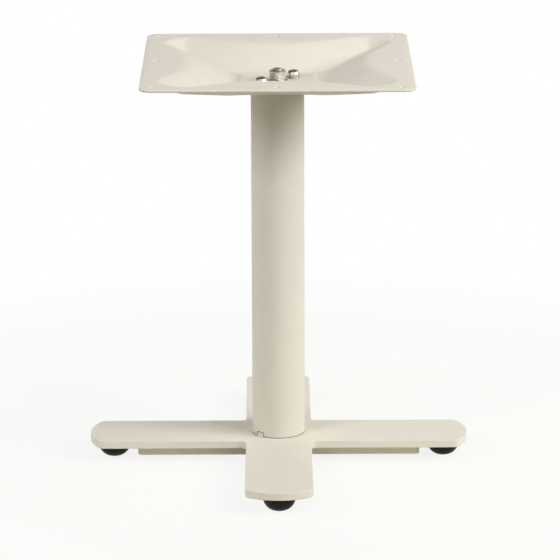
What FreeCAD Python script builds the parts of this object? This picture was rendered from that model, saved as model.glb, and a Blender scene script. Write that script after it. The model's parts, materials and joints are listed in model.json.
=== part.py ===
import FreeCAD, Part
import math
import os
import Sketcher

# Driving dimensions in millimetres
DRIVING_SIZES = (
    ("total_height", "462"),
    # Cross plate with four arms
    ("arm_span", "432"),
    ("arm_width", "75"),
    ("arm_thickness", "9"),
    ("arm_tip_radius", "67"),
    ("arm_tip_corner", "9"),
    ("arm_inner_corner", "6"),
    ("arm_edge_round", "0.8"),
    # Stiffener bars under the arms
    ("bar_width", "50"),
    ("bar_thickness", "12"),
    ("bar_inset", "55"),
    ("bar_spacing", "5"),
    ("bar_end_corner", "4"),
    ("bar_edge_round", "1.5"),
    # Column and the disc that centres it
    ("column_diameter", "60"),
    ("column_wall", "2"),
    ("column_end_chamfer", "1"),
    ("disc_thickness", "4.5"),
    ("disc_clearance", "0.15"),
    ("tooth_width", "9"),
    ("notch_gap", "0.9"),
    ("flange_thickness", "4"),
    ("flange_clearance", "1"),
    ("flange_corner", "6"),
    # Pressed top plate
    ("plate_side", "300"),
    ("plate_corner", "14"),
    ("sheet_thickness", "2.5"),
    ("rim_hole_pitch", "270"),
    ("rim_hole_diameter", "6.4"),
    ("rim_middle_width", "42.5"),
    ("rim_corner_width", "19.5"),
    ("opening_corner_run", "27.5"),
    ("opening_corner_radius", "45"),
    ("bend_drop", "2.2"),
    ("bend_run", "12.3"),
    ("knee_drop", "10.5"),
    ("facet_run", "21.5"),
    ("valley_width", "3"),
    ("dish_depth", "25"),
    ("floor_side", "103"),
    ("pad_rise", "1.6"),
    ("pad_side", "82"),
    ("pad_slope_run", "4.5"),
    # Tie rod, its nuts and washers
    ("rod_diameter", "12"),
    ("rod_clearance", "0.5"),
    ("rod_end_chamfer", "1.2"),
    ("rod_stand_out", "2"),
    ("thread_clearance", "0.1"),
    ("nut_flats", "18"),
    ("nut_height", "10.5"),
    ("washer_diameter", "24"),
    ("washer_thickness", "2.5"),
    # Dome-headed screws that fix the top plate to the flange
    ("screw_offset", "18"),
    ("screw_diameter", "8"),
    ("screw_clearance", "0.5"),
    ("screw_end_gap", "0.5"),
    ("screw_head_diameter", "14"),
    ("screw_head_height", "7.2"),
    ("screw_head_edge", "1.5"),
    ("screw_head_flat", "7.4"),
    ("screw_socket_flats", "5"),
    ("screw_socket_depth", "3.4"),
    ("screw_washer_diameter", "16"),
    ("screw_washer_thickness", "1.6"),
    # Domed feet and the screws that hold them
    ("foot_inset", "27"),
    ("foot_height", "18.5"),
    ("foot_diameter", "36"),
    ("foot_side_height", "5"),
    ("foot_contact_diameter", "16"),
    ("foot_recess_diameter", "11.5"),
    ("foot_recess_depth", "6"),
    ("foot_screw_diameter", "6"),
    ("foot_screw_clearance", "0.25"),
    ("foot_screw_skin", "2"),
    ("foot_screw_end_gap", "0.5"),
    ("foot_screw_head_diameter", "10"),
    ("foot_screw_head_height", "3.6"),
    ("foot_screw_head_chamfer", "0.8"),
)

# Directions of the four arms, in degrees from +X, seen from above
ARM_ANGLES = {"front": 270, "rear": 90, "left": 180, "right": 0}
NOTCH_ANGLE = 225
ARM_COUNT = 4
HEX_SIDES = 6
NUT_TURN = 30
NUT_CHAMFER_SLOPE = 30
NUT_FACE_SHARE = 0.95
NEAR = 1e-4


class Length:
    """A size, known as a number and as the expression that drives it from the sheet."""

    def __init__(self, value, text):
        self.value = value
        self.text = text

    def combine(self, other, symbol, value):
        return Length(value, f"({self.text} {symbol} {other.text})")

    def __add__(self, other):
        other = length(other)
        return self.combine(other, "+", self.value + other.value)

    def __sub__(self, other):
        other = length(other)
        return self.combine(other, "-", self.value - other.value)

    def __mul__(self, other):
        other = length(other)
        return self.combine(other, "*", self.value * other.value)

    def __truediv__(self, other):
        other = length(other)
        return self.combine(other, "/", self.value / other.value)

    def __neg__(self):
        return Length(-self.value, f"(-1 * {self.text})")

    def root(self):
        return Length(math.sqrt(self.value), f"sqrt({self.text})")


def length(number):
    """Wrap a plain number, and leave a Length as it is."""
    if isinstance(number, Length):
        return number
    return Length(float(number), f"({float(number)!r})")


doc = FreeCAD.newDocument("four_star_table_base")
sheet = doc.addObject("Spreadsheet::Sheet", "Sizes")
size = {}
for row, (alias, number) in enumerate(DRIVING_SIZES, start=1):
    sheet.set(f"A{row}", alias)
    sheet.set(f"B{row}", number)
    sheet.setAlias(f"B{row}", alias)
    size[alias] = Length(float(number), f"Sizes.{alias}")
doc.recompute()

ZERO = length(0)
subparts = []


# Heights above the floor
arm_bottom = size["foot_height"]
arm_top = arm_bottom + size["arm_thickness"]
floor_top = size["total_height"] - size["dish_depth"]
pad_top = floor_top + size["pad_rise"]
pad_under = pad_top - size["sheet_thickness"]
flange_bottom = pad_under - size["flange_thickness"]
top_nut_seat = pad_top + size["washer_thickness"]
bottom_nut_seat = arm_bottom - size["washer_thickness"]
bottom_nut_end = bottom_nut_seat - size["nut_height"]
screw_seat = pad_top + size["screw_washer_thickness"]
screw_end = flange_bottom + size["screw_end_gap"]

# Radii and reaches that several pieces share
arm_half = size["arm_width"] / 2
foot_reach = size["arm_span"] / 2 - size["foot_inset"]
bar_reach = size["arm_span"] / 2 - size["bar_inset"]
column_radius = size["column_diameter"] / 2
column_bore = column_radius - size["column_wall"]
rod_radius = size["rod_diameter"] / 2
rod_hole = rod_radius + size["rod_clearance"]
screw_radius = size["screw_diameter"] / 2
screw_hole = screw_radius + size["screw_clearance"]
screw_tapping = screw_radius + size["thread_clearance"]
foot_screw_radius = size["foot_screw_diameter"] / 2
foot_screw_tapping = foot_screw_radius + size["thread_clearance"]
foot_screw_hole = foot_screw_radius + size["foot_screw_clearance"]
foot_screw_tip = arm_top - size["foot_screw_skin"]
screw_places = [(-size["screw_offset"], -size["screw_offset"]), (size["screw_offset"], size["screw_offset"])]


def new_body(label):
    """Start a body, whose label names the sub-part."""
    body = doc.addObject("PartDesign::Body", label)
    body.Label = label
    return body


def origin_feature(body, role):
    """Find one of a body's own origin planes or axes."""
    return next(item for item in body.Origin.OriginFeatures if item.Role == role)


def new_sketch(body, name, role="XY_Plane", height=ZERO):
    """Start a sketch on one of the body's own planes, moved along that plane's normal."""
    sketch = body.newObject("Sketcher::SketchObject", name)
    sketch.AttachmentSupport = [(origin_feature(body, role), "")]
    sketch.MapMode = "FlatFace"
    sketch.setExpression("AttachmentOffset.Base.z", height.text)
    return sketch


def bind(sketch, kind, place, target):
    """Add a dimension to a sketch and drive it from the sheet."""
    index = sketch.addConstraint(Sketcher.Constraint(kind, *place, target.value))
    sketch.setExpression(f"Constraints[{index}]", target.text)


def fix_point(sketch, geometry, end, point):
    """Hold one point of a sketch at its two coordinates."""
    for kind, axis, target in (("DistanceX", -2, point[0]), ("DistanceY", -1, point[1])):
        if abs(target.value) < NEAR:
            sketch.addConstraint(Sketcher.Constraint("PointOnObject", geometry, end, axis))
        else:
            bind(sketch, kind, (-1, 1, geometry, end), target)


def vector(point):
    """Give a sketch point as a vector."""
    return FreeCAD.Vector(point[0].value, point[1].value, 0)


def arc_between(start, finish, radius, large):
    """Make the anticlockwise arc of a radius from one point to another."""
    chord = finish - start
    half_chord = chord.Length / 2
    height = math.sqrt(max(radius * radius - half_chord * half_chord, 0))
    if large:
        height = -height
    middle = (start + finish) * 0.5
    left = FreeCAD.Vector(-chord.y, chord.x, 0).normalize()
    centre = middle + left * height
    first = math.atan2(start.y - centre.y, start.x - centre.x)
    last = math.atan2(finish.y - centre.y, finish.x - centre.x)
    if last < first:
        last += 2 * math.pi
    circle = Part.Circle(centre, FreeCAD.Vector(0, 0, 1), radius)
    return Part.ArcOfCircle(circle, first, last)


def outline(sketch, points, arcs=None):
    """Draw a closed outline through points. An edge in arcs is round: its radius, its sense and its span."""
    arcs = arcs or {}
    edges = []
    for index, point in enumerate(points):
        here = vector(point)
        there = vector(points[(index + 1) % len(points)])
        if index not in arcs:
            edges.append((sketch.addGeometry(Part.LineSegment(here, there)), 1, 2))
            continue
        radius, sense, span = arcs[index]
        ends = (here, there) if sense == "left" else (there, here)
        geometry = sketch.addGeometry(arc_between(*ends, radius.value, span == "large"))
        edges.append((geometry, 1, 2) if sense == "left" else (geometry, 2, 1))
    for index, (geometry, first, last) in enumerate(edges):
        following, following_first, _ = edges[(index + 1) % len(edges)]
        sketch.addConstraint(Sketcher.Constraint("Coincident", geometry, last, following, following_first))
        fix_point(sketch, geometry, first, points[index])
        if index in arcs:
            bind(sketch, "Radius", (geometry,), arcs[index][0])


def rectangle(sketch, x_low, x_high, y_low, y_high):
    """Draw a rectangle between two corners."""
    outline(sketch, [(x_low, y_low), (x_high, y_low), (x_high, y_high), (x_low, y_high)])


def square(sketch, side):
    """Draw a square about the middle of a sketch."""
    half = side / 2
    rectangle(sketch, -half, half, -half, half)


def circles(sketch, centres, radius):
    """Draw equal circles at several places."""
    for centre in centres:
        circle = Part.Circle(vector(centre), FreeCAD.Vector(0, 0, 1), radius.value)
        geometry = sketch.addGeometry(circle)
        fix_point(sketch, geometry, 3, centre)
        bind(sketch, "Radius", (geometry,), radius)


def pad(body, sketch, height):
    """Raise a sketch into a solid."""
    feature = body.newObject("PartDesign::Pad", sketch.Name + "_pad")
    feature.Profile = sketch
    feature.setExpression("Length", height.text)
    sketch.Visibility = False
    doc.recompute()
    return feature


def pocket(body, sketch, depth, along_normal=False):
    """Cut a sketch out of a body, against the sketch's normal or along it, and see that it cuts."""
    volume_before = body.Shape.Volume
    feature = body.newObject("PartDesign::Pocket", sketch.Name + "_pocket")
    feature.Profile = sketch
    feature.Reversed = along_normal
    feature.setExpression("Length", depth.text)
    doc.recompute()
    if body.Shape.Volume > volume_before - NEAR:
        raise RuntimeError(f"{feature.Name} cuts nothing")
    return feature


def loft(body, kind, sketches):
    """Join sketches by straight-ruled faces, to add or to cut."""
    feature = body.newObject(kind, sketches[0].Name + "_loft")
    feature.Profile = sketches[0]
    feature.Sections = sketches[1:]
    feature.Ruled = True
    doc.recompute()
    return feature


def round_edges(body, name, radius, chosen):
    """Fillet the edges of a body that a test chooses."""
    base = body.Tip
    names = [f"Edge{index}" for index, edge in enumerate(base.Shape.Edges, start=1) if chosen(edge)]
    if not names:
        raise RuntimeError(f"{name} finds no edge")
    feature = body.newObject("PartDesign::Fillet", name)
    feature.Base = (base, names)
    feature.setExpression("Radius", radius.text)
    doc.recompute()
    return feature


def bevel_edges(body, name, depth, chosen):
    """Chamfer the edges of a body that a test chooses."""
    base = body.Tip
    names = [f"Edge{index}" for index, edge in enumerate(base.Shape.Edges, start=1) if chosen(edge)]
    if not names:
        raise RuntimeError(f"{name} finds no edge")
    feature = body.newObject("PartDesign::Chamfer", name)
    feature.Base = (base, names)
    feature.setExpression("Size", depth.text)
    doc.recompute()
    return feature


def is_upright(edge):
    """Tell whether an edge is a straight one along Z."""
    return len(edge.Vertexes) == 2 and edge.BoundBox.XLength < NEAR and edge.BoundBox.YLength < NEAR


def lies_at(edge, height):
    """Tell whether the whole of an edge lies at one height."""
    return abs(edge.BoundBox.ZMin - height.value) < NEAR and edge.BoundBox.ZLength < NEAR


def reaches_past(edge, reach):
    """Tell whether an edge's middle lies further from the Z axis than a reach."""
    return math.hypot(edge.BoundBox.Center.x, edge.BoundBox.Center.y) > reach.value


def turned(label, points, arcs=None):
    """Make a body by turning a half profile, radius by height, about the Z axis."""
    body = new_body(label)
    sketch = new_sketch(body, label + "_profile", "XZ_Plane")
    outline(sketch, points, arcs)
    feature = body.newObject("PartDesign::Revolution", label + "_turning")
    feature.Profile = sketch
    feature.ReferenceAxis = (sketch, ["V_Axis"])
    feature.Angle = 360
    doc.recompute()
    return body


def ring(label, bore, outside, bottom, top):
    """Make a flat ring."""
    return turned(label, [(bore, bottom), (outside, bottom), (outside, top), (bore, top)])


def place(item, x=ZERO, y=ZERO):
    """Move a sub-part sideways, with its place driven from the sheet."""
    item.setExpression("Placement.Base.x", x.text)
    item.setExpression("Placement.Base.y", y.text)


def turn(item, angle):
    """Turn a sub-part about the Z axis."""
    item.Placement = FreeCAD.Placement(FreeCAD.Vector(), FreeCAD.Rotation(FreeCAD.Vector(0, 0, 1), angle))


def keep(item):
    """List a finished sub-part for writing."""
    subparts.append(item)


def group(label, items):
    """Gather equal pieces in one sub-part, each a solid of its own."""
    compound = doc.addObject("Part::Compound", label)
    compound.Label = label
    compound.Links = items
    doc.recompute()
    keep(compound)


# Cross plate: one arm, repeated round the axis, with rounded corners and softened edges
def base_cross_plate():
    body = new_body("base_cross_plate")
    tip_rise = size["arm_tip_radius"] - (
        size["arm_tip_radius"] * size["arm_tip_radius"] - arm_half * arm_half).root()
    shoulder = size["arm_span"] / 2 - tip_rise
    arm = new_sketch(body, "arm", height=arm_bottom)
    corners = [(ZERO, -arm_half), (shoulder, -arm_half), (shoulder, arm_half), (ZERO, arm_half)]
    outline(arm, corners, {1: (size["arm_tip_radius"], "left", "small")})
    first_arm = pad(body, arm, size["arm_thickness"])
    arms = body.newObject("PartDesign::PolarPattern", "arms")
    arms.Originals = [first_arm]
    arms.Axis = (origin_feature(body, "Z_Axis"), [""])
    arms.Angle = 360
    arms.Occurrences = ARM_COUNT
    body.Tip = arms
    doc.recompute()
    diagonal = arm_half * 2
    round_edges(body, "tip_corners", size["arm_tip_corner"],
                lambda edge: is_upright(edge) and reaches_past(edge, diagonal))
    round_edges(body, "inner_corners", size["arm_inner_corner"],
                lambda edge: is_upright(edge) and abs(abs(edge.BoundBox.Center.x) - arm_half.value) < NEAR
                and abs(abs(edge.BoundBox.Center.y) - arm_half.value) < NEAR)
    round_edges(body, "soft_edges", size["arm_edge_round"],
                lambda edge: lies_at(edge, arm_top) or lies_at(edge, arm_bottom))
    rod_way = new_sketch(body, "rod_way", height=arm_top)
    circles(rod_way, [(ZERO, ZERO)], rod_hole)
    pocket(body, rod_way, size["arm_thickness"])
    tapping = new_sketch(body, "foot_tapping", height=arm_bottom)
    places = [(foot_reach, ZERO), (ZERO, foot_reach), (-foot_reach, ZERO), (ZERO, -foot_reach)]
    circles(tapping, places, foot_screw_tapping)
    pocket(body, tapping, foot_screw_tip - arm_bottom + size["foot_screw_end_gap"], along_normal=True)
    keep(body)


# Stiffener bar: flat bar under one arm, its inner end clear of its neighbours
def stiffener_bar(name, angle):
    body = new_body(f"stiffener_bar_{name}")
    bar_half = size["bar_width"] / 2
    bar_bottom = arm_bottom - size["bar_thickness"]
    blank = new_sketch(body, f"bar_{name}", height=bar_bottom)
    rectangle(blank, bar_half + size["bar_spacing"], bar_reach, -bar_half, bar_half)
    pad(body, blank, size["bar_thickness"])
    round_edges(body, f"bar_{name}_end", size["bar_end_corner"],
                lambda edge: is_upright(edge) and edge.BoundBox.Center.x > bar_reach.value - NEAR)
    round_edges(body, f"bar_{name}_edges", size["bar_edge_round"],
                lambda edge: lies_at(edge, bar_bottom))
    turn(body, angle)
    keep(body)


# Locating disc: fits the column's bore, with one tooth out to the column's surface
def locating_disc():
    body = new_body("locating_disc")
    disc_radius = column_bore - size["disc_clearance"]
    tooth_half = size["tooth_width"] / 2
    tooth_root = (disc_radius * disc_radius - tooth_half * tooth_half).root()
    tooth_tip = (column_radius * column_radius - tooth_half * tooth_half).root()
    face = new_sketch(body, "disc", height=arm_top)
    corners = [(tooth_root, -tooth_half), (tooth_tip, -tooth_half), (tooth_tip, tooth_half),
               (tooth_root, tooth_half)]
    outline(face, corners, {1: (column_radius, "left", "small"), 3: (disc_radius, "left", "large")})
    pad(body, face, size["disc_thickness"])
    rod_way = new_sketch(body, "disc_rod_way", height=arm_top)
    circles(rod_way, [(ZERO, ZERO)], rod_hole)
    pocket(body, rod_way, size["disc_thickness"], along_normal=True)
    turn(body, NOTCH_ANGLE)
    keep(body)


# Column: round tube, bevelled at its lower edge, with a notch there for the tooth
def column_tube():
    body = new_body("column_tube")
    wall = new_sketch(body, "column_section", height=arm_top)
    circles(wall, [(ZERO, ZERO)], column_radius)
    circles(wall, [(ZERO, ZERO)], column_bore)
    pad(body, wall, flange_bottom - arm_top)
    bevel_edges(body, "column_foot_bevel", size["column_end_chamfer"],
                lambda edge: lies_at(edge, arm_top) and edge.BoundBox.XMax > column_radius.value - NEAR)
    notch_half = size["tooth_width"] / 2 + size["notch_gap"]
    notch = new_sketch(body, "notch", "YZ_Plane")
    rectangle(notch, -notch_half, notch_half, arm_top, arm_top + size["disc_thickness"] + size["notch_gap"])
    pocket(body, notch, size["column_diameter"], along_normal=True)
    turn(body, NOTCH_ANGLE)
    keep(body)


# Top flange: square plate on the column, inside the hollow of the raised pad
def column_top_flange():
    body = new_body("column_top_flange")
    blank = new_sketch(body, "flange", height=flange_bottom)
    square(blank, size["pad_side"] - size["flange_clearance"] * 2)
    pad(body, blank, size["flange_thickness"])
    round_edges(body, "flange_corners", size["flange_corner"], is_upright)
    rod_way = new_sketch(body, "flange_rod_way", height=flange_bottom)
    circles(rod_way, [(ZERO, ZERO)], rod_hole)
    pocket(body, rod_way, size["flange_thickness"], along_normal=True)
    tapping = new_sketch(body, "flange_tapping", height=flange_bottom)
    circles(tapping, screw_places, screw_tapping)
    pocket(body, tapping, size["flange_thickness"], along_normal=True)
    keep(body)


# One level of the dish: four sides that bow towards the middle, and four corner edges, straight or round
def dish_level(body, name, height, middle, corner_near, corner_far, corner_radius=None):
    sketch = new_sketch(body, name, height=height)
    points = [(corner_near, -corner_far), (corner_far, -corner_near), (corner_far, corner_near),
              (corner_near, corner_far), (-corner_near, corner_far), (-corner_far, corner_near),
              (-corner_far, -corner_near), (-corner_near, -corner_far)]
    bow = corner_far - middle
    side_radius = (corner_near * corner_near + bow * bow) / (bow * 2)
    arcs = {index: (side_radius, "right", "small") for index in (1, 3, 5, 7)}
    if corner_radius is not None:
        arcs.update({index: (corner_radius, "left", "small") for index in (0, 2, 4, 6)})
    outline(sketch, points, arcs)
    return sketch


# The dish's four levels: rim, bend, knee of the corner facets, and floor
def dish_levels(body, name, drop):
    rim = size["total_height"] - drop
    plate_half = size["plate_side"] / 2
    rim_far = plate_half - size["rim_corner_width"]
    rim_near = rim_far - size["opening_corner_run"]
    rim_middle = plate_half - size["rim_middle_width"]
    rim_radius = size["opening_corner_radius"]
    knee_far = rim_far - size["facet_run"]
    knee_near = knee_far - size["valley_width"]
    bend_share = size["bend_drop"] / size["knee_drop"]
    bend_near = rim_near + (knee_near - rim_near) * bend_share
    bend_far = rim_far + (knee_far - rim_far) * bend_share
    bend_middle = rim_middle - size["bend_run"]
    bend_radius = rim_radius * (bend_far - bend_near) / size["opening_corner_run"]
    floor_half = size["floor_side"] / 2
    wall_share = (size["knee_drop"] - size["bend_drop"]) / (size["dish_depth"] - size["bend_drop"])
    knee_middle = bend_middle + (floor_half - bend_middle) * wall_share
    return [
        dish_level(body, f"{name}_rim", rim, rim_middle, rim_near, rim_far, rim_radius),
        dish_level(body, f"{name}_bend", rim - size["bend_drop"], bend_middle, bend_near, bend_far, bend_radius),
        dish_level(body, f"{name}_knee", rim - size["knee_drop"], knee_middle, knee_near, knee_far),
        dish_level(body, f"{name}_floor", rim - size["dish_depth"], floor_half,
                   floor_half, floor_half + size["valley_width"]),
    ]


# The raised pad's two levels: its foot on the dish floor and its flat top
def pad_levels(body, name, drop):
    foot = new_sketch(body, f"{name}_foot", height=floor_top - drop)
    square(foot, size["pad_side"] + size["pad_slope_run"] * 2)
    top = new_sketch(body, f"{name}_top", height=pad_top - drop)
    square(top, size["pad_side"])
    return [foot, top]


# Top plate: flat rim, dish pressed into it, and a pad pressed up out of the dish floor
def top_plate():
    body = new_body("top_plate")
    sheet_thickness = size["sheet_thickness"]
    blank = new_sketch(body, "rim", height=size["total_height"] - sheet_thickness)
    square(blank, size["plate_side"])
    pad(body, blank, sheet_thickness)
    round_edges(body, "rim_corners", size["plate_corner"], is_upright)
    loft(body, "PartDesign::AdditiveLoft", dish_levels(body, "bowl", sheet_thickness))
    loft(body, "PartDesign::SubtractiveLoft", dish_levels(body, "dish", ZERO))
    loft(body, "PartDesign::AdditiveLoft", pad_levels(body, "pad", ZERO))
    loft(body, "PartDesign::SubtractiveLoft", pad_levels(body, "hollow", sheet_thickness))
    place_half = size["rim_hole_pitch"] / 2
    steps = (-place_half, ZERO, place_half)
    places = [(x, y) for x in steps for y in steps if x is not ZERO or y is not ZERO]
    rim_holes = new_sketch(body, "rim_holes", height=size["total_height"])
    circles(rim_holes, places, size["rim_hole_diameter"] / 2)
    pocket(body, rim_holes, sheet_thickness)
    rod_way = new_sketch(body, "pad_rod_way", height=pad_top)
    circles(rod_way, [(ZERO, ZERO)], rod_hole)
    pocket(body, rod_way, sheet_thickness)
    screw_ways = new_sketch(body, "pad_screw_ways", height=pad_top)
    circles(screw_ways, screw_places, screw_hole)
    pocket(body, screw_ways, sheet_thickness)
    keep(body)


# Tie rod: plain at this scale, with a chamfer at each end
def tie_rod():
    chamfer = size["rod_end_chamfer"]
    bottom = bottom_nut_end - size["rod_stand_out"]
    top = top_nut_seat + size["nut_height"] + size["rod_stand_out"]
    body = turned("tie_rod", [(ZERO, bottom), (rod_radius - chamfer, bottom), (rod_radius, bottom + chamfer),
                              (rod_radius, top - chamfer), (rod_radius - chamfer, top), (ZERO, top)])
    keep(body)


def solid(kind, name, **sizes):
    """Make a simple solid whose sizes are driven from the sheet."""
    item = doc.addObject(kind, name)
    for dimension, target in sizes.items():
        item.setExpression(dimension, target.text)
    return item


def combine(kind, name, base, tool):
    """Cut or intersect two solids."""
    item = doc.addObject(kind, name)
    item.Base = base
    item.Tool = tool
    return item


# Hexagon nut, chamfered at both ends, with one corner towards the front
def hexagon_nut(label, seat):
    nut_height = size["nut_height"]
    face_radius = size["nut_flats"] / 2 * NUT_FACE_SHARE
    wide_radius = face_radius + nut_height / math.tan(math.radians(NUT_CHAMFER_SLOPE))
    blank = solid("Part::Prism", label + "_blank", Height=nut_height,
                  Circumradius=size["nut_flats"] / math.sqrt(3))
    blank.Polygon = HEX_SIDES
    turn(blank, NUT_TURN)
    upper = solid("Part::Cone", label + "_upper_cone", Radius1=wide_radius, Radius2=face_radius,
                  Height=nut_height)
    lower = solid("Part::Cone", label + "_lower_cone", Radius1=face_radius, Radius2=wide_radius,
                  Height=nut_height)
    bore = solid("Part::Cylinder", label + "_bore", Radius=rod_radius + size["thread_clearance"],
                 Height=nut_height)
    shaped = combine("Part::Common", label + "_shaped", blank, upper)
    shaped = combine("Part::Common", label + "_chamfered", shaped, lower)
    nut = combine("Part::Cut", label, shaped, bore)
    nut.Label = label
    nut.setExpression("Placement.Base.z", seat.text)
    doc.recompute()
    keep(nut)


# Dome-headed screws with a hexagon socket, in two of the flange's corners
def plate_screws():
    head_radius = size["screw_head_diameter"] / 2
    head_top = screw_seat + size["screw_head_height"]
    head_edge = screw_seat + size["screw_head_edge"]
    flat_radius = size["screw_head_flat"] / 2
    dome_radius = head_radius
    socket_corner = size["screw_socket_flats"] / math.sqrt(3)
    screws = []
    for index, (x, y) in enumerate(screw_places, start=1):
        name = f"plate_screw_{index}"
        screw = turned(name, [(ZERO, screw_end), (screw_radius, screw_end), (screw_radius, screw_seat),
                              (head_radius, screw_seat), (head_radius, head_edge), (flat_radius, head_top),
                              (ZERO, head_top)], {4: (dome_radius, "left", "small")})
        socket = new_sketch(screw, f"{name}_socket", height=head_top)
        steps = [2 * math.pi * side / HEX_SIDES for side in range(HEX_SIDES)]
        corners = [(socket_corner * math.cos(step), socket_corner * math.sin(step)) for step in steps]
        outline(socket, corners)
        pocket(screw, socket, size["screw_socket_depth"])
        place(screw, x, y)
        screws.append(screw)
    group("plate_screws", screws)


# Flat washers under the dome-headed screws
def plate_screw_washers():
    washers = []
    for index, (x, y) in enumerate(screw_places, start=1):
        washer = ring(f"plate_screw_washer_{index}", screw_hole, size["screw_washer_diameter"] / 2,
                      pad_top, screw_seat)
        place(washer, x, y)
        washers.append(washer)
    group("plate_screw_washers", washers)


def at_reach(item, angle):
    """Move a sub-part from the axis to the end of one arm."""
    direction = math.radians(angle)
    place(item, foot_reach * round(math.cos(direction)), foot_reach * round(math.sin(direction)))


# Foot: domed glide, with a recess for its screw from below
def foot_glide(name, angle):
    foot_radius = size["foot_diameter"] / 2
    contact_radius = size["foot_contact_diameter"] / 2
    recess_radius = size["foot_recess_diameter"] / 2
    recess = size["foot_recess_depth"]
    dome_height = size["foot_height"] - size["foot_side_height"]
    dome_run = foot_radius - contact_radius
    dome_radius = (dome_run * dome_run + dome_height * dome_height) / (dome_run * 2)
    foot = turned(f"foot_glide_{name}",
                  [(recess_radius, ZERO), (contact_radius, ZERO), (foot_radius, dome_height),
                   (foot_radius, arm_bottom), (foot_screw_hole, arm_bottom), (foot_screw_hole, recess),
                   (recess_radius, recess)], {1: (dome_radius, "left", "small")})
    at_reach(foot, angle)
    keep(foot)


# Screws that hold the feet, driven up into the arms
def foot_screws():
    head_radius = size["foot_screw_head_diameter"] / 2
    chamfer = size["foot_screw_head_chamfer"]
    seat = size["foot_recess_depth"]
    head_bottom = seat - size["foot_screw_head_height"]
    screws = []
    for name, angle in ARM_ANGLES.items():
        screw = turned(f"foot_screw_{name}",
                       [(ZERO, head_bottom), (head_radius - chamfer, head_bottom),
                        (head_radius, head_bottom + chamfer), (head_radius, seat),
                        (foot_screw_radius, seat), (foot_screw_radius, foot_screw_tip), (ZERO, foot_screw_tip)])
        at_reach(screw, angle)
        screws.append(screw)
    group("foot_screws", screws)


base_cross_plate()
for arm_name, arm_angle in ARM_ANGLES.items():
    stiffener_bar(arm_name, arm_angle)
locating_disc()
column_tube()
column_top_flange()
top_plate()
tie_rod()
hexagon_nut("rod_top_nut", top_nut_seat)
hexagon_nut("rod_bottom_nut", bottom_nut_end)
keep(ring("rod_top_washer", rod_hole, size["washer_diameter"] / 2, pad_top, top_nut_seat))
keep(ring("rod_bottom_washer", rod_hole, size["washer_diameter"] / 2, bottom_nut_seat, arm_bottom))
plate_screws()
plate_screw_washers()
for arm_name, arm_angle in ARM_ANGLES.items():
    foot_glide(arm_name, arm_angle)
foot_screws()
doc.recompute()

# Nothing is written unless every object is sound
for item in doc.Objects:
    if "Invalid" in item.State or "Error" in item.State:
        raise RuntimeError(f"{item.Name} failed: {item.State}")
for item in subparts:
    if item.Shape.isNull() or not item.Shape.isValid():
        raise RuntimeError(f"{item.Label} has no sound shape")

os.makedirs("parts", exist_ok=True)
for item in subparts:
    item.Shape.exportStep(os.path.join("parts", f"{item.Label}.step"))
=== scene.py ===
import json
import math

import bmesh
import bpy
from mathutils import Matrix, Vector


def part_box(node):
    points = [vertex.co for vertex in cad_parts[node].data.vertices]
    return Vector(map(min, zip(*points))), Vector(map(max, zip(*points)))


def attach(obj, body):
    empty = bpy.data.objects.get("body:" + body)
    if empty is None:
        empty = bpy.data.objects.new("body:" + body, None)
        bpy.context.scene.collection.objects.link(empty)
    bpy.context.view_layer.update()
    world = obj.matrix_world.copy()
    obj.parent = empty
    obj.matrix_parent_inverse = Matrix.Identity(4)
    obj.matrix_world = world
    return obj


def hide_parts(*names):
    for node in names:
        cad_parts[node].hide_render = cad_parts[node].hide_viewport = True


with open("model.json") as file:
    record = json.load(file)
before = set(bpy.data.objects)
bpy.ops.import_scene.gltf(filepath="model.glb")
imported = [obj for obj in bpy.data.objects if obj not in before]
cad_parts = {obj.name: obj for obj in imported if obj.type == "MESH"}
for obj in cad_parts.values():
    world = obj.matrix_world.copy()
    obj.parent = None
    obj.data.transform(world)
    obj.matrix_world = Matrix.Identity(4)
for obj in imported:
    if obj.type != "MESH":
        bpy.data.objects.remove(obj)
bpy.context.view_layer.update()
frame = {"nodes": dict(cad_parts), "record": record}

MM = 0.001
BODY = "root"
PAINT_SLOT = "painted_steel"
ZINC_SLOT = "zinc_steel"
GLIDE_SLOT = "black_glide"

# Camera, fitted to the photograph's frame
CAMERA_PLACE = (-7.2 * MM, -3699.2 * MM, 1264.85 * MM)
CAMERA_PAN = -0.1435
CAMERA_TILT = -15.952
CAMERA_ROLL = -0.2064
CAMERA_LENS = 217.6
CAMERA_SENSOR = 36.0
CAMERA_REACH = 100

# Finishes, with noise as waves in a metre and detail, and tones from 0 to 255
NOISE_LOW = 0.3
NOISE_HIGH = 0.7
NOISE_ROUGHNESS = 0.5
PAINT_MOTTLE = (60, 3)
PAINT_TONES = ((0.3, (227, 222, 209)), (0.7, (229, 224, 212)))
PAINT_GLOSS_NOISE = (400, 2)
PAINT_ROUGHNESS = (0.46, 0.56)
PAINT_SPECULAR = 0.1
PAINT_RELIEFS = (((700, 2), 0.12 * MM, 0.35), ((2600, 2), 0.04 * MM, 0.35))
ZINC_CLOUD = (300, 3)
ZINC_TONES = ((0.3, (204, 198, 188)), (0.7, (230, 225, 217)))
ZINC_GLOSS_NOISE = (900, 3)
ZINC_ROUGHNESS = (0.26, 0.38)
ZINC_RELIEFS = (((3500, 2), 0.02 * MM, 0.25),)
GLIDE_SPECKLE = (650, 4, 0.6)
GLIDE_TONES = ((0.42, (17, 13, 9)), (0.68, (52, 46, 38)))
GLIDE_GLOSS_NOISE = (1200, 2)
GLIDE_ROUGHNESS = (0.42, 0.6)
GLIDE_SPECULAR = 0.14
GLIDE_RELIEFS = (((800, 2), 0.3 * MM, 0.5), ((2200, 3), 0.12 * MM, 0.5))

# Painted shade deep in narrow gaps between painted faces, with tones in linear light
CREVICE_SHADE_REACH = 1.6 * MM
CREVICE_SHADE_SAMPLES = 8
CREVICE_SHADE_TONES = ((0.3, (0.38, 0.33, 0.23)), (0.5, (1, 1, 1)))
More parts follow.
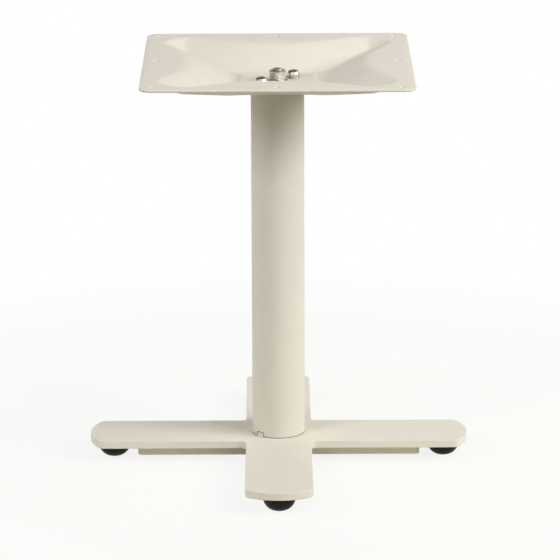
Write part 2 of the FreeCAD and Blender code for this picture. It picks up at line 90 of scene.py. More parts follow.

# Stage, with tones in linear light by the distance from the middle of the floor. The floor's colour is a
# painted pool of light, pale and warm near the middle and dark far out.
FLOOR_HALF_WIDTH = 8
FLOOR_ROUGHNESS = 0.9
FLOOR_LIGHT_POOL_TONES = ((0.4, (0.8, 0.78, 0.66)), (0.9, (0.18, 0.176, 0.149)))
FLOOR_GLOW = ((0.35, (0.86, 0.86, 0.86)), (0.8, (1, 1, 1)))
FLAG_X = (-4.0, 2.2)
FLAG_Y = (-1.2, 3.5)
FLAG_Z = (1.5, 2.9)
FLAG_COLOUR = (0.2, 0.165, 0.13, 1)
FLAG_ROUGHNESS = 1

# Light, with each softbox as name, place, width, power and whether bright metal mirrors it
WHITE = (1, 1, 1, 1)
LIGHT_TARGET = Vector((0, 0, 0.25))
WORLD_RING = ((0.15, 0.0), (0.33, 0.085), (0.66, 0.085), (0.8, 0.0))
SOFTBOXES = (
    ("softbox_right_front", (2.0, -1.8, 1.9), 0.6, 28, True),
    ("softbox_right", (2.6, -0.9, 1.5), 0.8, 39, True),
    ("softbox_right_high", (1.5, -0.4, 2.2), 1.2, 14, False),
    ("softbox_left_front", (-2.0, -1.8, 1.9), 1.2, 37, False),
    ("softbox_left_side", (-2.6, 0.0, 1.1), 1.2, 14, False),
    ("softbox_rear_high", (0.0, 1.8, 2.2), 1.2, 15, False),
)

# Pressed top plate
SHEET = 2.5 * MM
PLATE_CORNER = 14 * MM
PLATE_EDGE_ROUND = 0.9 * MM
RIM_CORNER_WIDTH = 19.5 * MM
OPENING_CORNER_RUN = 27.5 * MM
OPENING_CORNER_BULGE = 4.4 * MM
BEND_LINE_MIDDLE = 98.5 * MM
BEND_LINE_SWAY = 1.5
KNEE_DROP = 10.5 * MM
KNEE_CORNER_NEAR = 106 * MM
VALLEY_WIDTH = 3 * MM
DISH_DEPTH = 25 * MM
FLOOR_HALF = 51.5 * MM
PAD_RISE = 1.6 * MM
PAD_HALF = 41 * MM
PAD_SLOPE_RUN = 4.5 * MM
RIM_BEND_MIDDLE = 9 * MM
RIM_BEND_CORNER = 3 * MM
KNEE_BEND = 5 * MM
FLOOR_BEND = 6 * MM
PAD_BEND = 2 * MM
RIM_HOLE_PITCH = 270 * MM
RIM_HOLE_RADIUS = 3.2 * MM
HOLE_SOFT = 1.0 * MM
HOLE_CUT_OVER = 2 * SHEET
ROD_HOLE_RADIUS = 6.5 * MM
SCREW_HOLE_RADIUS = 4.5 * MM
SCREW_OFFSET = 18 * MM

# Hardware
ROD_RADIUS = 6 * MM
ROD_PITCH = 1.75 * MM
ROD_THREAD_DEPTH = 1.0 * MM
ROD_THREAD_LENGTH = 20 * MM
ROD_END_CHAMFER = 1.2 * MM
THREAD_CREST_SHARE = 0.15
THREAD_FLANK_SHARE = 0.7
THREAD_GAP = 0.1 * MM
NUT_FLATS = 18 * MM
NUT_TURN = math.radians(30)
NUT_CHAMFER_SLOPE = 30
NUT_FACE_SHARE = 0.95
NUT_CORNER_BLUNT = 0.2 * MM
NUT_MOUTH = 0.7 * MM
WASHER_EDGE_ROUND = 0.35 * MM
SCREW_RADIUS = 4 * MM
SCREW_HEAD_RADIUS = 7 * MM
SCREW_HEAD_FLAT = 3.7 * MM
SCREW_HEAD_EDGE = 1.5 * MM
SCREW_HEAD_CHAMFER = SCREW_HEAD_EDGE / 3
SCREW_HEAD_HEIGHT = 7.2 * MM
SCREW_SOCKET_FLATS = 5 * MM
SCREW_SOCKET_DEPTH = 3.4 * MM
SCREW_SOCKET_MOUTH = 0.25 * MM
SCREW_SOCKET_TIP = SCREW_SOCKET_FLATS / 8
SCREW_SOCKET_CONE = SCREW_SOCKET_FLATS / 4
SCREW_WASHER_RADIUS = 8 * MM
SCREW_WASHER_GAP = 0.5 * MM
FOOT_SCREW_RADIUS = 3 * MM
FOOT_SCREW_HEAD_RADIUS = 5 * MM
FOOT_SCREW_HEAD_HEIGHT = 3.6 * MM
FOOT_SCREW_HEAD_SOFT = 0.8 * MM
FOOT_SCREW_SOCKET_DEPTH = 2 * MM
WELD_LEG = 1.5 * MM
WELD_CROWN = 0.25
WELD_RIPPLE = 0.15 * MM
WELD_RIPPLES = 48

# Fineness of the meshes
SIDE_STEPS = 48
SIDE_CROWDING = 0.25
CORNER_STEPS = 8
BEND_STEPS = 7
WALL_STEPS = 5
EDGE_STEPS = 6
HOLE_SEGMENTS = 40
HOLE_SOFT_STEPS = 4
ROD_THREAD_STEPS = 8
WASHER_EDGE_STEPS = 4
WELD_STEPS = 6
DOME_STEPS = 10
TURN_SEGMENTS = 96
HEX_SIDES = 6

# Angles in degrees above which edges stay sharp
PLATE_SHARP = 55
WELD_SHARP = 60
ROD_SHARP = 60
NUT_SHARP = 25
WASHER_SHARP = 50
SCREW_SHARP = 30

new_pieces = []


def lerp(start, end, share):
    """Give the point a share of the way from one point to another."""
    return start + (end - start) * share


def mesh_object(name, vertices, faces):
    """Make an object from vertices and faces, shaded smooth."""
    mesh = bpy.data.meshes.new(name)
    mesh.from_pydata([tuple(vertex) for vertex in vertices], [], faces)
    mesh.validate()
    mesh.update()
    mesh.polygons.foreach_set("use_smooth", [True] * len(mesh.polygons))
    item = bpy.data.objects.new(name, mesh)
    bpy.context.scene.collection.objects.link(item)
    return item


def side_faces(first, count, rows, wrap=False):
    """Give the quads between rows of points, counted from a first point. The last row can join the first."""
    faces = []
    for row in range(rows if wrap else rows - 1):
        here = first + row * count
        there = first + (row + 1) % rows * count
        for step in range(count):
            after = (step + 1) % count
            faces.append((here + step, here + after, there + after, there + step))
    return faces


def recalculate(item):
    """Turn every face of a closed piece outwards."""
    work = bmesh.new()
    work.from_mesh(item.data)
    bmesh.ops.recalc_face_normals(work, faces=work.faces)
    work.to_mesh(item.data)
    work.free()


def skin(name, loops, wrap=False):
    """Join equal loops of points by quads, and turn the faces outwards. Open ends are capped."""
    count = len(loops[0])
    vertices = [point for loop in loops for point in loop]
    faces = side_faces(0, count, len(loops), wrap)
    if not wrap:
        last = len(vertices) - count
        faces.append(tuple(reversed(range(count))))
        faces.append(tuple(range(last, last + count)))
    item = mesh_object(name, vertices, faces)
    recalculate(item)
    return item


def sharpen(item, degrees):
    """Keep edges sharp where faces meet at more than an angle."""
    item.data.set_sharp_from_angle(angle=math.radians(degrees))


def carry(item, slot, *nodes):
    """Let a piece ride with the base in place of the CAD nodes that it stands for."""
    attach(item, BODY)
    if nodes:
        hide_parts(*nodes)


def add_piece(piece, slot, sharp_degrees, *nodes):
    """Finish a piece's shading and let it stand for its CAD nodes."""
    sharpen(piece, sharp_degrees)
    carry(piece, slot, *nodes)
    new_pieces.append((piece, slot))


# Soft bends between straight runs
def bend(enter, corner, leave, steps):
    """Give the points of a soft bend past a corner."""
    points = []
    for step in range(steps + 1):
        share = step / steps
        points.append(lerp(lerp(enter, corner, share), lerp(corner, leave, share), share))
    return points


def soft_path(points, bends):
    """Follow straight runs through points, rounding each inner point over its bend length each way."""
    path = [points[0]]
    leave = points[0]
    for index in range(1, len(points) - 1):
        corner = points[index]
        before = (points[index - 1] - corner).normalized()
        after = (points[index + 1] - corner).normalized()
        enter = corner + before * bends[index - 1]
        finish = corner + after * bends[index - 1]
        for step in range(1, WALL_STEPS):
            path.append(lerp(leave, enter, step / WALL_STEPS))
        path += bend(enter, corner, finish, BEND_STEPS)
        leave = finish
    for step in range(1, WALL_STEPS + 1):
        path.append(lerp(leave, points[-1], step / WALL_STEPS))
    return path


# Loops of the top plate
def side_places():
    """Give the places along one side, from -1 to 1, closer together towards its ends."""
    places = []
    for step in range(SIDE_STEPS):
        even = 2 * step / SIDE_STEPS - 1
        places.append(even * (1 + SIDE_CROWDING - SIDE_CROWDING * even * even))
    return places


def quarter_turn(point, turns):
    """Turn a point about the Z axis by quarter turns."""
    for _ in range(turns):
        point = Vector((-point.y, point.x, point.z))
    return point


def square_loop(side_point, corner_point):
    """Make a loop with four equal sides and four equal corners from one side and one corner."""
    loop = []
    for turns in range(4):
        for place in side_places():
            loop.append(quarter_turn(side_point(place), turns))
        for step in range(CORNER_STEPS):
            loop.append(quarter_turn(corner_point(step / CORNER_STEPS), turns))
    return loop


def even_bow(place):
    """Give how far a side has swung outwards at a place, in one even curve."""
    return abs(place) ** 2


def swaying_bow(place):
    """Give how far a side has swung outwards at a place, levelling off towards its ends."""
    return (1 - math.cos(math.pi * abs(place) ** BEND_LINE_SWAY)) / 2


def bowed_loop(middle, near, far, height, bulge=0.0, bow=even_bow):
    """Make a loop whose sides bow towards the middle. Corners are cut straight, or bulge outwards."""
    out = Vector((math.sqrt(0.5), math.sqrt(0.5), 0))

    def side_point(place):
        return Vector((lerp(middle, far, bow(place)), near * place, height))

    def corner_point(share):
        chord = lerp(Vector((far, near, height)), Vector((near, far, height)), share)
        return chord + out * bulge * (1 - (2 * share - 1) ** 2)

    return square_loop(side_point, corner_point)


def rounded_square_loop(half, corner, height):
    """Make a square loop with round corners."""
    inner = half - corner

    def side_point(place):
        return Vector((half, inner * place, height))

    def corner_point(share):
        angle = share * math.pi / 2
        return Vector((inner + corner * math.cos(angle), inner + corner * math.sin(angle), height))

    return square_loop(side_point, corner_point)


def round_loop(template, radius, height):
    """Make a round loop whose points lie in the same directions as another loop's."""
    lift = Vector((0, 0, height))
    return [Vector((point.x, point.y, 0)).normalized() * radius + lift for point in template]


def rim_bends():
    """Give the bend length round the rim: long in the middle of a side, short at the corners."""
    def side_point(place):
        return Vector((lerp(RIM_BEND_CORNER, RIM_BEND_MIDDLE, 1 - place * place), 0, 0))

    def corner_point(_):
        return Vector((RIM_BEND_CORNER, 0, 0))

    return [max(abs(length.x), abs(length.y)) for length in square_loop(side_point, corner_point)]


def plate_top_loops(rim, half):
    """Give the loops of the plate's upper face, from its outer edge to the rod's hole."""
    far = half - RIM_CORNER_WIDTH
    near = far - OPENING_CORNER_RUN
    outer = rounded_square_loop(half - PLATE_EDGE_ROUND, PLATE_CORNER - PLATE_EDGE_ROUND, rim)
    bend_line = bowed_loop(BEND_LINE_MIDDLE, near, far, rim, OPENING_CORNER_BULGE, swaying_bow)
    knee_middle = lerp(BEND_LINE_MIDDLE, FLOOR_HALF, KNEE_DROP / DISH_DEPTH)
    knee = bowed_loop(knee_middle, KNEE_CORNER_NEAR, KNEE_CORNER_NEAR + VALLEY_WIDTH, rim - KNEE_DROP)
    floor_height = rim - DISH_DEPTH
    floor = bowed_loop(FLOOR_HALF, FLOOR_HALF, FLOOR_HALF + VALLEY_WIDTH, floor_height)
    pad_foot_half = PAD_HALF + PAD_SLOPE_RUN
    pad_foot = bowed_loop(pad_foot_half, pad_foot_half - VALLEY_WIDTH, pad_foot_half, floor_height)
    pad_height = floor_height + PAD_RISE
    pad_top = bowed_loop(PAD_HALF, PAD_HALF - VALLEY_WIDTH, PAD_HALF, pad_height)
    hole = round_loop(floor, ROD_HOLE_RADIUS, pad_height)
    paths = []
    for index, rim_bend in enumerate(rim_bends()):
        points = [loop[index] for loop in (outer, bend_line, knee, floor, pad_foot, pad_top, hole)]
        paths.append(soft_path(points, (rim_bend, KNEE_BEND, FLOOR_BEND, PAD_BEND, PAD_BEND)))
    return [[path[row] for path in paths] for row in range(len(paths[0]))]


def top_plate(name, node):
    """Model the pressed plate: flat rim, soft-bent dish, corner facets, raised pad and screw holes."""
    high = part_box("top_plate")[1]
    rim = high.z
    half = high.x
    upper = plate_top_loops(rim, half)
    lower = [[point - Vector((0, 0, SHEET)) for point in loop] for loop in reversed(upper)]
    edge = []
    for step in range(1, EDGE_STEPS):
        angle = math.pi * step / EDGE_STEPS
        reach = PLATE_EDGE_ROUND * math.sin(angle)
        drop = SHEET / 2 * (1 - math.cos(angle))
        edge.append(rounded_square_loop(half - PLATE_EDGE_ROUND + reach,
                                        PLATE_CORNER - PLATE_EDGE_ROUND + reach, rim - drop))
    plate = skin(name, upper + lower + list(reversed(edge)), wrap=True)
    cut_holes(plate, rim)
    add_piece(plate, PAINT_SLOT, PLATE_SHARP, node)


def hole_rows(radius, top):
    """Give the rings of a hole with softened mouths, from under the sheet to over it."""
    mouth = []
    for step in range(1, HOLE_SOFT_STEPS + 1):
        depth = HOLE_SOFT * step / HOLE_SOFT_STEPS
        mouth.append((radius + HOLE_SOFT - math.sqrt(HOLE_SOFT ** 2 - (HOLE_SOFT - depth) ** 2), depth))
    mouth.insert(0, (mouth[0][0], -HOLE_CUT_OVER))
    under = [(reach, top - SHEET + depth) for reach, depth in mouth]
    over = [(reach, top - depth) for reach, depth in mouth]
    return under + list(reversed(over))


def diagonal(reach):
    """Give the two places of the dome-headed screws."""
    return [(-reach, -reach), (reach, reach)]


def cut_holes(plate, rim):
    """Cut the eight screw holes of the rim, and the two of the pad."""
    reach = RIM_HOLE_PITCH / 2
    steps = (-reach, 0, reach)
    rim_rows = hole_rows(RIM_HOLE_RADIUS, rim)
    pad_rows = hole_rows(SCREW_HOLE_RADIUS, rim - DISH_DEPTH + PAD_RISE)
    holes = [((x, y), rim_rows) for x in steps for y in steps if x or y]
    holes += [(place, pad_rows) for place in diagonal(SCREW_OFFSET)]
    vertices = []
    faces = []
    for place, rows in holes:
        first = len(vertices)
        for radius, height in rows:
            vertices += ring(radius, height, place, HOLE_SEGMENTS)
        last = len(vertices) - HOLE_SEGMENTS
        faces.append(tuple(reversed(range(first, first + HOLE_SEGMENTS))))
        faces.append(tuple(range(last, last + HOLE_SEGMENTS)))
        faces += side_faces(first, HOLE_SEGMENTS, len(rows))
    cutter = mesh_object("rim_hole_cutter", vertices, faces)
    modifier = plate.modifiers.new("rim_holes", "BOOLEAN")
    modifier.operation = "DIFFERENCE"
    modifier.solver = "EXACT"
    modifier.object = cutter
    bpy.context.view_layer.update()
    evaluated = plate.evaluated_get(bpy.context.evaluated_depsgraph_get())
    cut_mesh = bpy.data.meshes.new_from_object(evaluated)
    plate.modifiers.clear()
    plate.data = cut_mesh
    bpy.data.objects.remove(cutter)


# Pieces made of rings about an upright axis
def ring(radius, height, centre, segments):
    """Give the points of a ring. Its radius and its height may change with the angle."""
    points = []
    for step in range(segments):
        angle = 2 * math.pi * step / segments
        reach = radius(angle) if callable(radius) else radius
        level = height(angle) if callable(height) else height
        x = centre[0] + reach * math.cos(angle)
        y = centre[1] + reach * math.sin(angle)
        points.append(Vector((x, y, level)))
    return points


def ringed(name, rows, centre=(0, 0), wrap=False):
    """Join rings about an upright axis into a piece."""
    return skin(name, [ring(radius, height, centre, TURN_SEGMENTS) for radius, height in rows], wrap)


def add_copies(name, node, rows, places, sharp_degrees, wrap=False):
    """Set the same ringed piece of bright metal at each place."""
    for index, place in enumerate(places, start=1):
        add_piece(ringed(f"{name}_{index}", rows, place, wrap), ZINC_SLOT, sharp_degrees, node)


def hexagon(flats, turn=0.0, blunt=0.0):
    """Give the radius of a hexagon by angle, with its corners blunted a little."""
    sector = 2 * math.pi / HEX_SIDES
    widest = flats / math.sqrt(3) - blunt

    def radius(angle):
        off = (angle - turn) % sector - sector / 2
        return min(flats / 2 / math.cos(off), widest)

    return radius


def washer_rows(bore, outside, low, high):
    """Give the rings of a flat washer with softened edges."""
    profile = ((bore, low), (outside, low), (outside, high), (bore, high))
    points = [Vector((radius, height, 0)) for radius, height in profile]
    rows = []
    for index, corner in enumerate(points):
        before = (points[index - 1] - corner).normalized()
        after = (points[(index + 1) % len(points)] - corner).normalized()
        enter = corner + before * WASHER_EDGE_ROUND
        leave = corner + after * WASHER_EDGE_ROUND
        rows += [(point.x, point.y) for point in bend(enter, corner, leave, WASHER_EDGE_STEPS)]
    return rows


def rod_washer(name, node):
    """Model a flat washer under one of the rod's nuts."""
    low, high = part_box(node)
    rows = washer_rows(ROD_HOLE_RADIUS, (high.x - low.x) / 2, low.z, high.z)
    add_piece(ringed(name, rows, wrap=True), ZINC_SLOT, WASHER_SHARP, node)


def hexagon_nut(name, node):
    """Model a nut: blunted hexagon, turned chamfer at each end and countersunk mouths."""
    low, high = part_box(node)
    outline = hexagon(NUT_FLATS, NUT_TURN, NUT_CORNER_BLUNT)
    face = NUT_FLATS / 2 * NUT_FACE_SHARE
    slope = math.tan(math.radians(NUT_CHAMFER_SLOPE))
    bore = ROD_RADIUS + THREAD_GAP
    mouth = bore + NUT_MOUTH

    def rise(angle):
        return max(outline(angle) - face, 0) * slope

    rows = [(bore, low.z + NUT_MOUTH), (mouth, low.z), (face, low.z),
            (outline, lambda angle: low.z + rise(angle)), (outline, lambda angle: high.z - rise(angle)),
            (face, high.z), (mouth, high.z), (bore, high.z - NUT_MOUTH)]
    add_piece(ringed(name, rows, wrap=True), ZINC_SLOT, NUT_SHARP, node)


def tie_rod(name, node):
    """Model the rod with a real thread on each end and a plain shank between them."""
    low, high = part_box(node)

    def thread_radius(height):
        def radius(angle):
            turn = (height / ROD_PITCH - angle / (2 * math.pi)) % 1
            flank = (abs(2 * turn - 1) - THREAD_CREST_SHARE) / THREAD_FLANK_SHARE
            groove = min(max(flank, 0), 1) * ROD_THREAD_DEPTH
            edge = min(height - low.z, high.z - height)
            return min(ROD_RADIUS - groove, ROD_RADIUS - ROD_END_CHAMFER + edge)
        return radius

    step = ROD_PITCH / ROD_THREAD_STEPS
    count = int(ROD_THREAD_LENGTH / step)
    lower = [low.z + step * index for index in range(count)]
    upper = [high.z - step * index for index in reversed(range(count))]
    rows = [(thread_radius(height), height) for height in lower + upper]
    rows.insert(count, (ROD_RADIUS, lower[-1] + ROD_PITCH))
    rows.insert(count + 1, (ROD_RADIUS, upper[0] - ROD_PITCH))
    add_piece(ringed(name, rows), ZINC_SLOT, ROD_SHARP, node)


def socket_rows(face, depth, direction):
    """Give the rings of a hexagon socket, from its bottom to its mouth."""
    socket = hexagon(SCREW_SOCKET_FLATS)
    wide = hexagon(SCREW_SOCKET_FLATS + 2 * SCREW_SOCKET_MOUTH)
    floor = face - direction * depth
    return [(SCREW_SOCKET_TIP, floor - direction * SCREW_SOCKET_CONE), (socket, floor),
            (socket, face - direction * SCREW_SOCKET_MOUTH), (wide, face)]


def dome_rows(flat, widest, edge, rise):
    """Give the rings of a rounded head, from its flat face to its widest ring."""
    rows = []
    for step in range(DOME_STEPS + 1):
        angle = math.pi / 2 * step / DOME_STEPS
        rows.append((flat + (widest - flat) * math.sin(angle), edge + rise * math.cos(angle)))
    return rows


def plate_screws(name, node):
    """Model the two dome-headed screws with their hexagon sockets."""
    low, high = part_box(node)
    seat = high.z - SCREW_HEAD_HEIGHT
    edge = seat + SCREW_HEAD_EDGE
    rows = socket_rows(high.z, SCREW_SOCKET_DEPTH, 1)
    rows += dome_rows(SCREW_HEAD_FLAT, SCREW_HEAD_RADIUS, edge, high.z - edge)
    rows += [(SCREW_HEAD_RADIUS, seat + SCREW_HEAD_CHAMFER), (SCREW_HEAD_RADIUS - SCREW_HEAD_CHAMFER, seat),
             (SCREW_RADIUS, seat), (SCREW_RADIUS, low.z)]
    add_copies(name, node, rows, diagonal(high.x - SCREW_HEAD_RADIUS), SCREW_SHARP)


def screw_washers(name, node):
    """Model the washers under the dome-headed screws."""
    low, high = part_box(node)
    rows = washer_rows(SCREW_RADIUS + SCREW_WASHER_GAP, SCREW_WASHER_RADIUS, low.z, high.z)
    add_copies(name, node, rows, diagonal(high.x - SCREW_WASHER_RADIUS), WASHER_SHARP, wrap=True)


def foot_screws(name, node):
    """Model the screws under the feet, with hexagon sockets that face down."""
    low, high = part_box(node)
    reach = high.x - FOOT_SCREW_HEAD_RADIUS
    seat = low.z + FOOT_SCREW_HEAD_HEIGHT
    soft = FOOT_SCREW_HEAD_SOFT
    rows = socket_rows(low.z, FOOT_SCREW_SOCKET_DEPTH, -1)
    rows += dome_rows(FOOT_SCREW_HEAD_RADIUS - soft, FOOT_SCREW_HEAD_RADIUS, low.z + soft, -soft)
    rows += [(FOOT_SCREW_HEAD_RADIUS, seat), (FOOT_SCREW_RADIUS, seat), (FOOT_SCREW_RADIUS, high.z)]
    add_copies(name, node, rows, ((reach, 0), (0, reach), (-reach, 0), (0, -reach)), SCREW_SHARP)


def column_weld(name):
    """Model the rippled fillet weld between the column's top and its flange."""
    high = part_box("column_tube")[1]
    radius = high.x
    rows = []
    for step in range(WELD_STEPS + 1):
        share = step / WELD_STEPS
        bulge = 1 + WELD_CROWN * math.sin(math.pi * share)

        def ripple(angle, share=share, bulge=bulge):
            wave = WELD_RIPPLE * share * math.sin(WELD_RIPPLES * angle)
            return radius + WELD_LEG * share * bulge + wave

        rows.append((ripple, high.z - WELD_LEG * (1 - share) * bulge))
    rows.append((radius - WELD_RIPPLE, high.z))
    rows.append((radius - WELD_RIPPLE, high.z - WELD_LEG))
    add_piece(ringed(name, rows, wrap=True), PAINT_SLOT, WELD_SHARP)


# Finishes
def new_material(name):
    """Start a node material and give its tree and its surface shader."""
    material = bpy.data.materials.new(name)
    material.use_nodes = True
    tree = material.node_tree
    shader = next(node for node in tree.nodes if node.type == "BSDF_PRINCIPLED")
    return material, tree, shader


def noise(tree, waves, detail, roughness=NOISE_ROUGHNESS):
    """Add noise in object space."""
    place = tree.nodes.new("ShaderNodeTexCoord")
    texture = tree.nodes.new("ShaderNodeTexNoise")
    texture.inputs["Scale"].default_value = waves
    texture.inputs["Detail"].default_value = detail
    texture.inputs["Roughness"].default_value = roughness
    tree.links.new(place.outputs["Object"], texture.inputs["Vector"])
    return texture.outputs["Fac"]


def ramp(tree, source, stops):
    """Turn a value into a colour in linear light between stops."""
    node = tree.nodes.new("ShaderNodeValToRGB")
    elements = node.color_ramp.elements
    while len(elements) < len(stops):
        elements.new(1.0)
    for element, (place, colour) in zip(elements, stops):
        element.position = place
        element.color = (*colour, 1)
    tree.links.new(source, node.inputs["Fac"])
    return node.outputs["Color"]


def linear(red, green, blue):
    """Turn a colour from 0 to 255 into linear light by the sRGB curve."""
    values = []
    for channel in (red, green, blue):
        share = channel / 255
        values.append(share / 12.92 if share <= 0.04045 else ((share + 0.055) / 1.055) ** 2.4)
    return tuple(values)


def mottle(tree, texture, tones):
    """Give a colour that wanders between tones from 0 to 255."""
    stops = [(place, linear(*colour)) for place, colour in tones]
    return ramp(tree, noise(tree, *texture), stops)


def spread(tree, source, low, high):
    """Turn noise into a value between two limits."""
    node = tree.nodes.new("ShaderNodeMapRange")
    node.inputs["From Min"].default_value = NOISE_LOW
    node.inputs["From Max"].default_value = NOISE_HIGH
    node.inputs["To Min"].default_value = low
    node.inputs["To Max"].default_value = high
    tree.links.new(source, node.inputs["Value"])
    return node.outputs["Result"]


def bump(tree, source, depth, strength, normal=None):
    """Add surface relief from a height, over any relief that is there."""
    node = tree.nodes.new("ShaderNodeBump")
    node.inputs["Distance"].default_value = depth
    node.inputs["Strength"].default_value = strength
    tree.links.new(source, node.inputs["Height"])
    if normal is not None:
        tree.links.new(normal, node.inputs["Normal"])
    return node.outputs["Normal"]


def uneven_surface(tree, shader, gloss_noise, roughness, reliefs):
    """Let the roughness wander between limits, and stack reliefs of a noise, a depth and a strength."""
    tree.links.new(spread(tree, noise(tree, *gloss_noise), *roughness), shader.inputs["Roughness"])
    normal = None
    for texture, depth, strength in reliefs:
        normal = bump(tree, noise(tree, *texture), depth, strength, normal)
    tree.links.new(normal, shader.inputs["Normal"])


def painted_crevice_shade(tree, colour):
    """Paint shade into a colour deep in narrow gaps, darker where the surface is more closed in."""
    open_share = tree.nodes.new("ShaderNodeAmbientOcclusion")
    open_share.samples = CREVICE_SHADE_SAMPLES
    open_share.inputs["Distance"].default_value = CREVICE_SHADE_REACH
    blend = tree.nodes.new("ShaderNodeMix")
    blend.data_type = "RGBA"
    blend.blend_type = "MULTIPLY"
    blend.inputs["Factor"].default_value = 1
    tree.links.new(colour, blend.inputs["A"])
    tree.links.new(ramp(tree, open_share.outputs["AO"], CREVICE_SHADE_TONES), blend.inputs["B"])
    return blend.outputs["Result"]


def paint_material():
    """Cream powder coat: matt, faintly mottled, with painted shade deep in narrow gaps and a fine
    orange-peel relief.
    """
    material, tree, shader = new_material("cream_powder_coat")
    # The colour carries painted shade in narrow gaps, darker where the surface is closed in.
    colour = painted_crevice_shade(tree, mottle(tree, PAINT_MOTTLE, PAINT_TONES))
    tree.links.new(colour, shader.inputs["Base Color"])
    shader.inputs["Specular IOR Level"].default_value = PAINT_SPECULAR
    uneven_surface(tree, shader, PAINT_GLOSS_NOISE, PAINT_ROUGHNESS, PAINT_RELIEFS)
    return material


def zinc_material():
    """Bright zinc plating: slightly warm metal with fine scratches and uneven gloss."""
    material, tree, shader = new_material("bright_zinc")
    tree.links.new(mottle(tree, ZINC_CLOUD, ZINC_TONES), shader.inputs["Base Color"])
    shader.inputs["Metallic"].default_value = 1.0
    uneven_surface(tree, shader, ZINC_GLOSS_NOISE, ZINC_ROUGHNESS, ZINC_RELIEFS)
    return material


def glide_material():
    """Black moulded foot: pebbled spark-eroded grain, scuffed a little, with a dull sheen."""
    material, tree, shader = new_material("black_moulding")
    tree.links.new(mottle(tree, GLIDE_SPECKLE, GLIDE_TONES), shader.inputs["Base Color"])
    shader.inputs["Specular IOR Level"].default_value = GLIDE_SPECULAR
    uneven_surface(tree, shader, GLIDE_GLOSS_NOISE, GLIDE_ROUGHNESS, GLIDE_RELIEFS)
    return material


def finish_pieces():
    """Give every CAD node and every new piece the finish of its slot."""
    finishes = {PAINT_SLOT: paint_material(), ZINC_SLOT: zinc_material(), GLIDE_SLOT: glide_material()}
    slots = {row["node"]: row["material_slot"] for row in frame["record"]["subparts"]}
    cad_pieces = [(node, slots[name]) for name, node in frame["nodes"].items()]
    for piece, slot in cad_pieces + new_pieces:
        piece.data.materials.clear()
        piece.data.materials.append(finishes[slot])


# Stage, light and camera
def seen_share(tree):
    """Give 1 to what the camera sees, itself or in a reflection, and 0 to other light."""
    rays = tree.nodes.new("ShaderNodeLightPath")
    level = rays.outputs["Is Camera Ray"]
    for kind in ("Is Glossy Ray", "Is Transmission Ray"):
        wider = tree.nodes.new("ShaderNodeMath")
        wider.operation = "MAXIMUM"
        tree.links.new(level, wider.inputs[0])
        tree.links.new(rays.outputs[kind], wider.inputs[1])
        level = wider.outputs[0]
    return level


def mix_shaders(tree, share, first, second):
    """Blend two shaders, the second by its share."""
    blend = tree.nodes.new("ShaderNodeMixShader")
    tree.links.new(share, blend.inputs["Fac"])
    tree.links.new(first.outputs[0], blend.inputs[1])
    tree.links.new(second.outputs[0], blend.inputs[2])
    return blend


def floor_material():
    """Pale floor: white to the camera and in reflections, with the base's soft shadow, clear from below."""
    material, tree, shader = new_material("floor_white")
    place = tree.nodes.new("ShaderNodeTexCoord")
    reach = tree.nodes.new("ShaderNodeVectorMath")
    reach.operation = "LENGTH"
    tree.links.new(place.outputs["Object"], reach.inputs[0])
    # Painted pool of light: the floor's colour is pale and warm near the base and dark far out.
    tree.links.new(ramp(tree, reach.outputs["Value"], FLOOR_LIGHT_POOL_TONES), shader.inputs["Base Color"])
    shader.inputs["Roughness"].default_value = FLOOR_ROUGHNESS
    shader.inputs["Specular IOR Level"].default_value = 0
    glow_share = tree.nodes.new("ShaderNodeMath")
    glow_share.operation = "MULTIPLY"
    tree.links.new(seen_share(tree), glow_share.inputs[0])
    tree.links.new(ramp(tree, reach.outputs["Value"], FLOOR_GLOW), glow_share.inputs[1])
    glow = tree.nodes.new("ShaderNodeEmission")
    upper_side = mix_shaders(tree, glow_share.outputs[0], shader, glow)
    side = tree.nodes.new("ShaderNodeNewGeometry")
    clear = tree.nodes.new("ShaderNodeBsdfTransparent")
    both_sides = mix_shaders(tree, side.outputs["Backfacing"], upper_side, clear)
    output = next(node for node in tree.nodes if node.type == "OUTPUT_MATERIAL")
    tree.links.new(both_sides.outputs[0], output.inputs["Surface"])
    return material


def studio_world():
    """Surround the base with a ring of soft light above the horizon, white where the camera sees it."""
    world = bpy.data.worlds.new("studio")
    bpy.context.scene.world = world
    world.use_nodes = True
    tree = world.node_tree
    background = next(node for node in tree.nodes if node.type == "BACKGROUND")
    place = tree.nodes.new("ShaderNodeTexCoord")
    axes = tree.nodes.new("ShaderNodeSeparateXYZ")
    tree.links.new(place.outputs["Generated"], axes.inputs["Vector"])
    stops = [(height, (level, level, level)) for height, level in WORLD_RING]
    strength = tree.nodes.new("ShaderNodeMath")
    strength.operation = "MAXIMUM"
    tree.links.new(ramp(tree, axes.outputs["Z"], stops), strength.inputs[0])
    tree.links.new(seen_share(tree), strength.inputs[1])
    tree.links.new(strength.outputs[0], background.inputs["Strength"])
    background.inputs["Color"].default_value = WHITE


def softbox(name, place, width, power, mirrored):
    """Hang a square soft lamp that looks at the column, seen in bright metal or kept out of it."""
    light = bpy.data.lights.new(name, "AREA")
    light.shape = "SQUARE"
    light.size = width
    light.energy = power
    lamp = bpy.data.objects.new(name, light)
    lamp.visible_glossy = mirrored
    lamp.location = place
    lamp.rotation_euler = (LIGHT_TARGET - Vector(place)).to_track_quat("-Z", "Y").to_euler()
    bpy.context.scene.collection.objects.link(lamp)


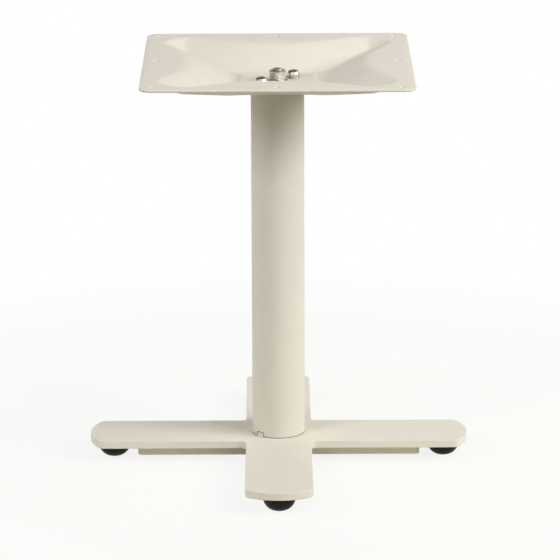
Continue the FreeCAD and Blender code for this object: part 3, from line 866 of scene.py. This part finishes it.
def black_flag():
    """Hang a dark cloth above, behind and to the left, so that bright metal shows dark against light."""
    left, right = FLAG_X
    near, far = FLAG_Y
    low, high = FLAG_Z
    corners = [(left, far, low), (right, far, low), (right, far, high), (left, far, high),
               (right, near, high), (left, near, high), (left, near, low)]
    flag = mesh_object("black_flag", corners, [(0, 1, 2, 3), (3, 2, 4, 5), (0, 3, 5, 6)])
    material, _, shader = new_material("flag_cloth")
    shader.inputs["Base Color"].default_value = FLAG_COLOUR
    shader.inputs["Specular IOR Level"].default_value = 0
    shader.inputs["Roughness"].default_value = FLAG_ROUGHNESS
    flag.data.materials.append(material)
    flag.visible_camera = False


def floor_and_light():
    """Lay the floor and set the studio light, with the key from the front right."""
    half = FLOOR_HALF_WIDTH
    corners = [(-half, -half, 0), (half, -half, 0), (half, half, 0), (-half, half, 0)]
    floor = mesh_object("floor", corners, [(0, 1, 2, 3)])
    floor.data.materials.append(floor_material())
    studio_world()
    black_flag()
    for lamp in SOFTBOXES:
        softbox(*lamp)


def camera():
    """Set the camera at the photograph's view."""
    data = bpy.data.cameras.new("camera")
    data.lens = CAMERA_LENS
    data.sensor_width = CAMERA_SENSOR
    data.clip_end = CAMERA_REACH
    item = bpy.data.objects.new("camera", data)
    turn = Matrix.Rotation(math.radians(CAMERA_PAN), 4, "Z")
    tilt = Matrix.Rotation(math.radians(90 + CAMERA_TILT), 4, "X")
    roll = Matrix.Rotation(math.radians(CAMERA_ROLL), 4, "Z")
    item.matrix_world = Matrix.Translation(CAMERA_PLACE) @ turn @ tilt @ roll
    bpy.context.scene.collection.objects.link(item)
    bpy.context.scene.camera = item


top_plate("top_plate_pressing", "top_plate")
column_weld("column_top_weld")
tie_rod("tie_rod_threaded", "tie_rod")
for end in ("top", "bottom"):
    hexagon_nut(f"rod_{end}_nut_chamfered", f"rod_{end}_nut")
    rod_washer(f"rod_{end}_washer_soft", f"rod_{end}_washer")
plate_screws("plate_screw_domed", "plate_screws")
screw_washers("plate_screw_washer_soft", "plate_screw_washers")
foot_screws("foot_screw_socketed", "foot_screws")
finish_pieces()
floor_and_light()
camera()
bpy.context.scene.view_settings.view_transform = "Standard"
